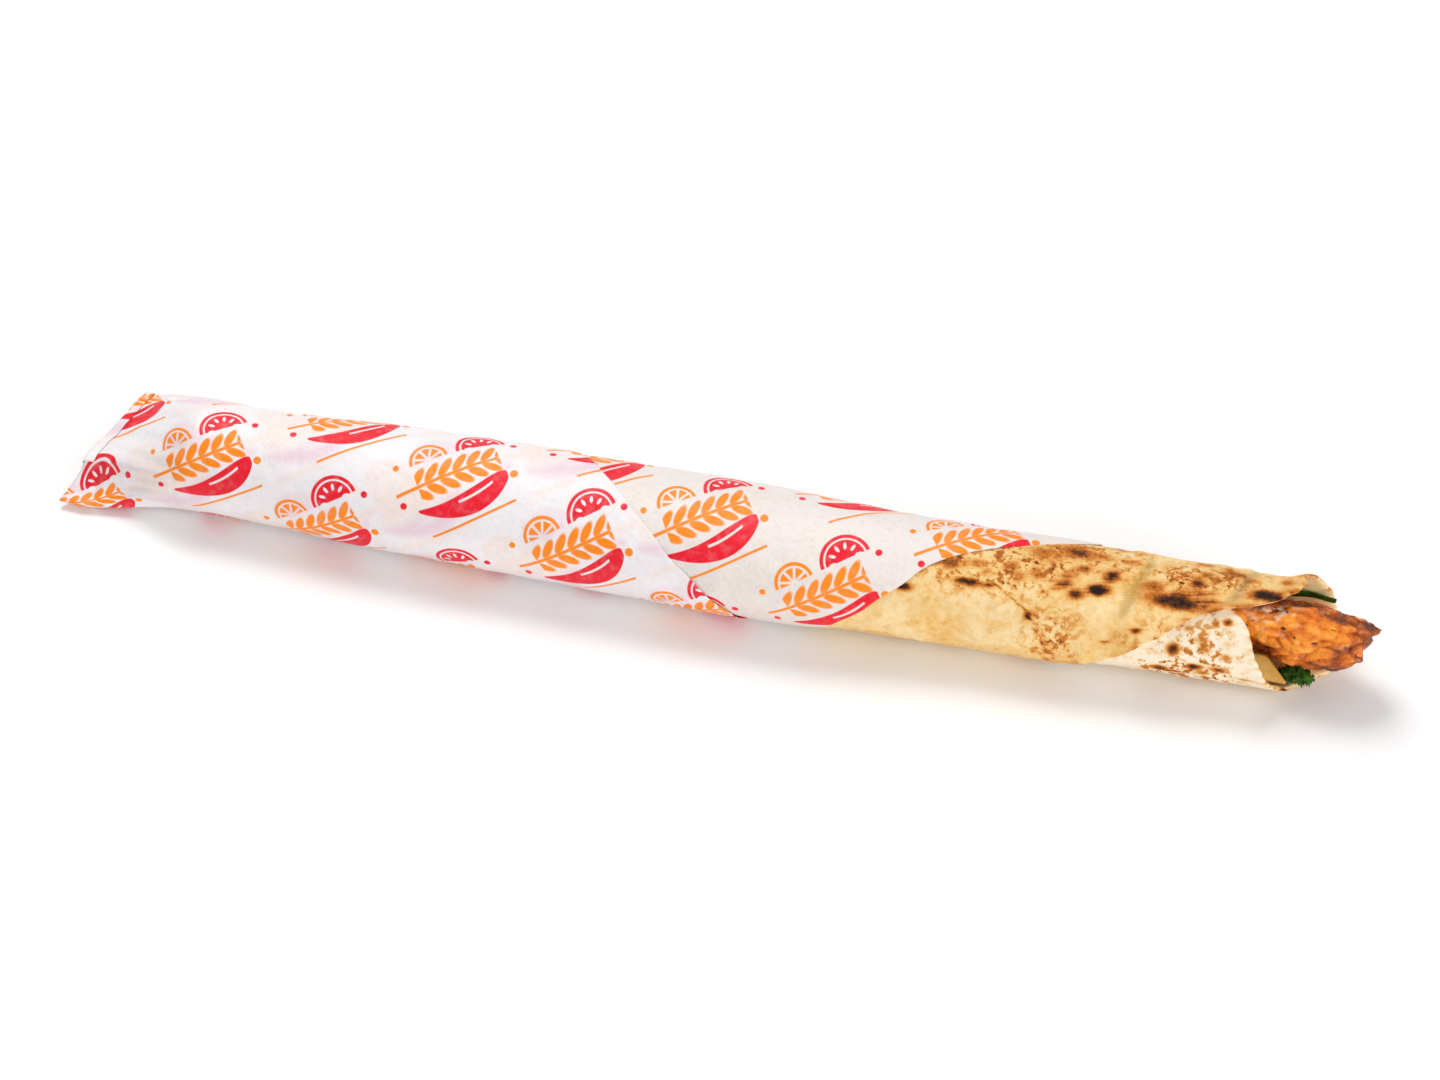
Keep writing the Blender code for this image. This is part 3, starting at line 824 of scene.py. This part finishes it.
def bread_faces(x, angle, edge):
    """Points of the outer and the inner face, which meet in a rounded edge."""
    lift = bread_relief(x, angle) + bread_lift(x, angle, edge)
    out = lift - BREAD_PITCH * turns(angle, BREAD_OVERLAP)
    at_edge = np.clip(1 - (edge - x) / EDGE_ROUND, 0, 1)
    wall = BREAD * np.sqrt(np.maximum(1 - at_edge**2, 0.0))
    sunk = (BREAD - wall) / 2
    return ring(x, angle, out - sunk), ring(x, angle, out - sunk - wall)


def bread_fields(x, angle, edge):
    """Numbers for its material: toast, paleness, tints of the grooves, small marks and the face."""
    toast = bread_toast(x, angle).ravel()
    ragged = 0.6 + 0.4 * np.sin(angle / 6.1 + 2 * np.sin(angle / 2.7))
    rim = RIM_TOAST * np.exp(-(edge - x) / (2.0 + 1.6 * ease(300, 270, angle))) * ragged
    olive, grey = bread_grooves(x, angle)
    speckle = sum(spot(x, angle, *place) for place in SPECKLED)
    return {
        "toast": np.concatenate([toast, INNER_TOAST * toast]) + np.tile(rim.ravel(), 2),
        "pale": np.concatenate([ease(290, 310, angle).ravel(), np.ones(x.size)]),
        "olive": olive,
        "grey": grey,
        "speckle": np.clip(speckle, 0, 1),
        "inner_face": np.repeat((0.0, 1.0), x.size),
    }


def make_bread(material):
    """The toasted flatbread, wound inwards, with a rounded edge."""
    x, angle, edge = bread_grid()
    outer, inner = bread_faces(x, angle, edge)
    fields = bread_fields(x, angle, edge)
    obj = shell("flatbread_roll", outer, inner, fields, flat_map(x, angle))
    dress(obj, material, "flatbread")


def toasted_crease(bread):
    """Irregular toasted line across the near side, where the bread has been folded."""
    x, around = bread.unrolled()
    up = around - FOLD_AROUND
    wander = (bread.noise(6, detail=3) - 0.5) * 5.0
    beside = abs(x + up * 0.5 + up.square() * 0.034 - FOLD_X + wander)
    width = up.between(4.0, -8.0) * 2.6 + 1.3
    ends = up.between(-15.0, -9.0) * up.between(20.0, 15.0)
    return beside.between(width, 0.2) * bread.noise(2.2, detail=3).between(0.3, 0.6) * ends


def bread_material():
    """Toasted flatbread: cream to gold, with brown patches and charred blisters."""
    bread = Material("toasted_flatbread", roughness=0.7, Specular_IOR_Level=0.2)
    toast, pale, speckle = (bread.field(name) for name in ("toast", "pale", "speckle"))
    patches = bread.noise(12, detail=4, roughness=0.6).between(0.38, 0.64) * 0.22
    small = bread.noise(3.2, detail=4, roughness=0.65).between(0.5, 0.75) * 0.2
    breakup = (bread.noise(1.5, detail=4, roughness=0.7) - 0.5) * 0.9
    blotches = bread.noise(2.5, detail=4, roughness=0.62).between(0.47, 0.58) * 0.46
    specks = bread.noise(1.3, detail=3, roughness=0.6).between(0.58, 0.68) * 0.36
    plain = (patches + small) * (pale * -0.6 + 1.0)
    marks = (blotches * (pale * 0.08 + 1.0) + specks) * (speckle * 0.88 + 0.12)
    char = toast.lower(0.6) * 0.9 + toast.between(0.58, 0.95) * 0.36
    crust = char + toast.lower(0.6) * breakup + toasted_crease(bread) * 0.44
    level = plain + crust.higher(marks)
    base = bread.ramp(level, list(zip(CRUST_STOPS, CRUST)))
    base = bread.mix(pale * level.between(0.42, 0.12) * 0.85, base, INNER_TURN)
    inner_face = bread.field("inner_face") * level.between(0.42, 0.12)
    base = bread.mix(inner_face * 0.9, base, INNER_FACE)
    base = bread.mix(bread.field("olive") * 0.62, base, GROOVE_OLIVE)
    base = bread.mix(bread.field("grey") * 0.5, base, GROOVE_GREY)
    pores = bread.noise(0.7, detail=3) * 0.35
    fine_wrinkles = bread.noise(2.6, detail=4, where=bread.stretched((0.4, 1, 1)))
    height = bread.noise(5, detail=5, roughness=0.6) * 1.2 + fine_wrinkles * 0.4 + pores
    height = height - level.between(0.75, 1.0) * 0.5
    roughness = bread.noise(6, detail=2) * 0.25 + 0.5
    return bread.finish(base, roughness, height, 0.45)


def chicken_points(x, angle):
    """Plain surface of the chicken, as the CAD model has it: a hidden core, then the chunk."""
    core = ring(x, angle, -CHICKEN_WALL)
    top, bottom, half = (curve(x, points) for points in (CHUNK_TOP, CHUNK_BOTTOM, CHUNK_HALF))
    lean = np.radians(angle - 45)
    away = (top + bottom) / 2 + (top - bottom) / 2 * np.sin(lean)
    near = CHUNK_NEAR + half * np.cos(lean)
    shows = ease(CHUNK_FROM, CHUNK_TO, x)[..., None]
    return core + shows * (mouth(x, away, near) - core)


def chicken_crags(points, x):
    """Height of the lumps, blocks, fibres and torn ridges of the chicken."""
    lumps = smooth_noise(points, (10, 7, 7), 11)
    clefts = np.sqrt(np.abs(smooth_noise(points, (8, 4.5, 4.5), 15))) - 0.5
    knobs = np.sqrt(np.abs(smooth_noise(points, (3.6, 2.6, 2.6), 12))) - 0.5
    small = smooth_noise(points, (1.8, 1.2, 1.2), 13)
    crags = LUMPS * lumps + CLEFTS * clefts + KNOBS * knobs + GRAINS * small
    return ease(CRAGS_FROM, CRAGS_TO, x) * crags


def chicken_grid():
    """X and angle of the chicken's points, which lie closer together where it shows."""
    start = CRAGS_FROM - 10
    hidden = np.linspace(CHICKEN_FROM + 2, start, CHICKEN_HIDDEN_ROWS)
    share = np.linspace(0, 1, CHICKEN_ROWS + 1)[1:]
    shown = start + (CHICKEN_TO - start) * np.sin(share * np.pi / 2)
    x = np.concatenate([hidden, shown[:-1]])[:, None]
    angle = np.linspace(0, 360, CHICKEN_COLUMNS, endpoint=False)[None, :]
    return np.broadcast_arrays(x, angle)


def torn_end(points):
    """How far the fibres and notches of the torn end stand out along the roll."""
    torn = 1.6 * np.sqrt(np.abs(smooth_noise(points, (6, 3.4, 3.4), 14))) - 1
    away = (points[..., 1] - MOUTH_Y + points[..., 2] - MOUTH_Z) * SLANT
    for place, half, depth in NOTCHES:
        torn = torn - depth * np.exp(-((away - place) / half) ** 2)
    return torn


def chicken_fields(x, angle, crags):
    """Numbers for its material, with one for each end point after those of the rings."""
    lean = np.sin(np.radians(angle - 45))
    seared = 0.75 * ease(0.35, 1.0, lean) + 0.8 * ease(194, 209, x) + 0.8 * ease(-0.5, -1.0, lean)
    seared = np.minimum(seared, SEARED_MOST)
    # painted highlight: the pale spot where the chicken shines
    highlight_spot = np.exp(-((x - HIGHLIGHT_X) / HIGHLIGHT_LENGTH) ** 2 - ((angle - HIGHLIGHT_ANGLE) / HIGHLIGHT_WIDTH) ** 2)
    return {
        "crag": np.append(crags.ravel(), (0, 0)),
        "seared": np.append(seared.ravel(), (1, 1)),
        "highlight_spot": np.append(highlight_spot.ravel(), (0, 0)),
    }


def make_chicken(material):
    """Grilled chicken, one long piece with a craggy, torn end."""
    x, angle = chicken_grid()
    points = chicken_points(x, angle)
    middle = points.mean(axis=1, keepdims=True)
    crags = chicken_crags(points, x)
    spread = points - middle
    length = np.maximum(np.linalg.norm(spread, axis=-1, keepdims=True), 1e-6)
    reach = np.clip(length / CRAGS_FULL, 0, 1)
    points = points + spread / length * crags[..., None] * reach
    points[..., 0] += ease(TORN_FROM, TORN_TO, x) * torn_end(points)
    ends = np.array([middle[0, 0] - (2, 0, 0), points[-1].mean(axis=0) + (0.1, 0, 0)])
    every = np.concatenate([points.reshape(-1, 3), ends])
    fields = chicken_fields(x, angle, crags)
    obj = make_mesh("chicken_chunk", every, tube_faces(*x.shape), fields)
    dress(obj, material, "chicken")


def chicken_material():
    """Glazed grilled crust, orange to brown with dark flecks, painted shade in its hollows and
    painted highlights.
    """
    meat = Material("glazed_chicken", roughness=0.4, Specular_IOR_Level=0.35)
    crag, seared = meat.field("crag"), meat.field("seared")
    fibres = meat.noise(3.2, detail=5, roughness=0.65, where=meat.stretched((0.35, 1, 1)))
    patches = meat.noise(6, detail=3, roughness=0.6)
    # painted shade: the level rises where the crags sink, so their hollows come out darker and
    # their knobs paler
    level = patches * 0.75 + fibres * 0.7 - crag * 0.16 + seared * 0.42 - 0.39
    base = meat.ramp(level, MEAT_STOPS)
    sheen_streaks = meat.noise(2.6, detail=3, where=meat.stretched((0.6, 1, 1)))
    # painted highlight: pale streaks of sheen over the crust
    base = meat.mix(sheen_streaks.between(0.6, 0.7) * 0.3, base, PAINTED_SHEEN)
    # painted highlight: a pale spot where the sauce shines
    base = meat.mix(sheen_streaks.between(0.48, 0.57) * meat.field("highlight_spot") * 0.9, base, PAINTED_HIGHLIGHT)
    flecks = meat.cells(3.4).between(0.2, 0.14) * meat.noise(5).between(0.5, 0.58)
    base = meat.mix(flecks * 0.85, base, HERB)
    burnt = meat.cells(5.2, where=meat.stretched((0.55, 1, 1))).between(0.13, 0.09)
    base = meat.mix(burnt * 0.9, base, BURNT)
    height = fibres * 1.4 + meat.noise(1.2, detail=4) * 0.6
    roughness = meat.noise(3, detail=3).between(0.4, 0.62) * 0.4 + 0.16
    return meat.finish(base, roughness, height, 0.8)


def fry_points(share, angle):
    """Rings of points along the fry, with its slanting cut, its bow and its uneven faces."""
    wide = np.sign(np.cos(angle)) * np.abs(np.cos(angle)) ** FRY_POWER * FRY_WIDE / 2
    tall = np.sign(np.sin(angle)) * np.abs(np.sin(angle)) ** FRY_POWER * FRY_TALL / 2
    blunt = np.clip(np.minimum(share, 1 - share) * FRY_LENGTH / FRY_BLUNT, 0, 1)
    round_off = 0.86 + 0.14 * np.sqrt(1 - (1 - blunt) ** 2)
    wide, tall = wide * round_off, tall * round_off
    wedge = FRY_WEDGE * np.clip(0.5 + tall / FRY_TALL, 0, 1) * share**3
    x = (share - 1) * FRY_LENGTH - wedge
    bow = 0.35 * np.sin(share * 7)
    local = np.stack(np.broadcast_arrays(x, wide + bow, tall), axis=-1)
    local = local + 0.16 * smooth_noise(local, (6, 3, 3), 21)[..., None] * (0, 1, 1)
    y = local[..., 1] * SLANT + local[..., 2] * SLANT
    z = local[..., 2] * SLANT - local[..., 1] * SLANT
    return np.stack([local[..., 0], y, z], axis=-1) + mouth(*FRY_TIP)


def make_fry(material):
    """Fry with soft edges, uneven faces and a slanting cut."""
    share = np.linspace(0, 1, FRY_ROWS)[:, None]
    angle = np.radians(np.linspace(0, 360, FRY_COLUMNS, endpoint=False))[None, :]
    points = fry_points(share, angle)
    ends = np.array([points[0].mean(axis=0), points[-1].mean(axis=0)])
    every = np.concatenate([points.reshape(-1, 3), ends])
    edge = np.abs(np.sin(2 * angle)) ** 3 * np.ones_like(share)
    fields = {"edge": np.append(edge.ravel(), (0, 0))}
    obj = make_mesh("potato_fry", every, tube_faces(FRY_ROWS, FRY_COLUMNS), fields)
    dress(obj, material, "fry")


def fry_material():
    """Fried potato: yellow flesh with golden edges."""
    fry = Material("fried_potato", roughness=0.45, Subsurface_Weight=0.1, Subsurface_Scale=0.003)
    tone = fry.noise(4, detail=4, roughness=0.6)
    base = fry.ramp(tone, FRY_STOPS)
    base = fry.mix(fry.field("edge") * fry.noise(3).between(0.3, 0.6) * 0.7, base, FRY_EDGE)
    height = fry.noise(0.9, detail=4) + fry.noise(3) * 0.6
    return fry.finish(base, fry.noise(2) * 0.3 + 0.3, height, 0.15)


def shares(rows, columns):
    """Shares of the way along and across a sheet, for each of its points."""
    return np.meshgrid(np.linspace(0, 1, rows), np.linspace(0, 1, columns), indexing="ij")


def make_leaf(number, middle, length, width, turn, lean, material):
    """Crumpled parsley leaf with deep teeth and veins."""
    along, across = shares(LEAF_ROWS, LEAF_COLUMNS)
    cos_turn, sin_turn = np.cos(np.radians(turn)), np.sin(np.radians(turn))
    cos_lean, sin_lean = np.cos(np.radians(lean)), np.sin(np.radians(lean))
    teeth = 1 + 0.22 * np.cos(6 * np.pi * along) + 0.26 * np.cos(17 * np.pi * along + number)
    swell = teeth * (0.16 + np.sin(np.pi * along) ** 0.6)
    side = 2 * across - 1
    flat_x = (0.82 * along - 0.5) * length + 0.7 * np.abs(side)
    flat_z = side * swell * width / 2
    wave = 0.5 * np.sin(2 * np.pi * along + middle[0]) + 0.3 * swell * np.sin(4 * across)
    wave = wave + 0.35 * np.abs(side) ** 2 * np.sin(23 * along + 2 * number)
    away = flat_x * sin_turn + flat_z * cos_turn
    x = middle[0] + flat_x * cos_turn - flat_z * sin_turn

    def face(lift):
        return mouth(
            x, middle[1] + away * cos_lean - (wave + lift) * sin_lean,
            middle[2] + away * sin_lean + (wave + lift) * cos_lean,
        )

    to_side_vein = (along * 7 + np.abs(side) * 1.4) % 1 - 0.5
    side_veins = np.exp(-(to_side_vein / VEIN_WIDTH) ** 2)
    vein = np.exp(-(side / VEIN_WIDTH) ** 2) + 0.5 * side_veins
    obj = shell(f"parsley_{number}", face(LEAF / 2), face(-LEAF / 2), {"vein": vein})
    dress(obj, material, f"parsley_leaf_{number}")


def make_strip(material):
    """Strip of green leaf inside the far wall, its free end bent inwards."""
    along, around = shares(STRIP_ROWS, STRIP_COLUMNS)
    waves = 0.2 * np.sin(9 * along) + 0.12 * np.sin(13 * around + 6 * along)
    bend_in = STRIP_BEND * along**3 + waves
    x = STRIP_FROM + STRIP_LENGTH * along + 0.25 * np.sin(17 * around)
    angle = STRIP_ANGLE + STRIP_WIDTH * around * (1 - 0.25 * along)
    outer = ring(x, angle, -STRIP_DEPTH - bend_in)
    inner = ring(x, angle, -STRIP_DEPTH - bend_in - STRIP)
    vein = np.exp(-((around - 0.5) / 0.08) ** 2)
    obj = shell("green_strip_leaf", outer, inner, {"vein": vein})
    dress(obj, material, "green_strip")


def leaf_material():
    """Moist dark green leaf with paler veins."""
    leaf = Material("green_leaf", roughness=0.4, Specular_IOR_Level=0.16)
    tone = leaf.noise(2.4, detail=3)
    base = leaf.ramp(tone, LEAF_STOPS)
    base = leaf.mix(leaf.field("vein") * 0.35, base, LEAF_VEIN)
    height = leaf.noise(1.1, detail=3) - leaf.field("vein") * 0.4
    return leaf.finish(base, leaf.noise(1.6) * 0.3 + 0.22, height, 0.2)


def dress(obj, material, node=None):
    """Give a piece its material and body, and let it stand for its CAD node, if any."""
    obj.data.materials.append(material)
    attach(obj, "root")
    if node:
        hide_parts(node)


def add_camera():
    """Camera at the photograph's viewing angle."""
    turn, rise = np.radians(AZIMUTH), np.radians(ELEVATION)
    away = Vector((np.sin(turn) * np.cos(rise), -np.cos(turn) * np.cos(rise), np.sin(rise)))
    data = bpy.data.cameras.new("camera")
    data.lens, data.sensor_width = LENS, SENSOR
    camera = bpy.data.objects.new("camera", data)
    camera.location = Vector(TARGET) + DISTANCE * away
    camera.rotation_euler = away.to_track_quat("Z", "Y").to_euler()
    bpy.context.scene.collection.objects.link(camera)
    bpy.context.scene.camera = camera


def add_light(name, place, size, power):
    """Square soft light that points at the roll."""
    data = bpy.data.lights.new(name, "AREA")
    data.size, data.energy = size, power
    light = bpy.data.objects.new(name, data)
    light.location = place
    light.rotation_euler = Vector(place).to_track_quat("Z", "Y").to_euler()
    bpy.context.scene.collection.objects.link(light)


def add_stage():
    """Pale floor, soft studio lights and an even surround."""
    corners = np.array([(-1, -1, 0), (1, -1, 0), (1, 1, 0), (-1, 1, 0)]) * FLOOR_HALF
    floor = make_mesh("floor", corners / MM, [(0, 1, 2, 3)])
    plain = Material("pale_floor", roughness=0.8, Specular_IOR_Level=0.1)
    base = plain.ramp(plain.noise(400, detail=1), FLOOR_STOPS)
    floor.data.materials.append(plain.finish(base))
    for light in LIGHTS:
        add_light(*light)
    world = bpy.data.worlds.new("surround")
    world.use_nodes = True
    background = world.node_tree.nodes["Background"]
    background.inputs["Color"].default_value = (1, 1, 1, 1)
    background.inputs["Strength"].default_value = SURROUND
    bpy.context.scene.world = world
    bpy.context.scene.view_settings.view_transform = "Standard"


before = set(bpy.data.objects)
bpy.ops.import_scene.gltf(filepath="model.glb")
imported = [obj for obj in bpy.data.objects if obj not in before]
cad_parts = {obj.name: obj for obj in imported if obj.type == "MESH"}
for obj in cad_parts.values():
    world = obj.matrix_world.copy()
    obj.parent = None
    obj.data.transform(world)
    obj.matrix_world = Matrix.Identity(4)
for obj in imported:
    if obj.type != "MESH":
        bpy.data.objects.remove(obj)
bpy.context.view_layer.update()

greaseproof = paper_material()
make_paper(greaseproof)
make_hem(greaseproof)
make_bread(bread_material())
make_chicken(chicken_material())
make_fry(fry_material())
green = leaf_material()
for leaf_number, leaf_form in enumerate(LEAVES, 1):
    make_leaf(leaf_number, *leaf_form, green)
make_strip(green)
add_stage()
add_camera()
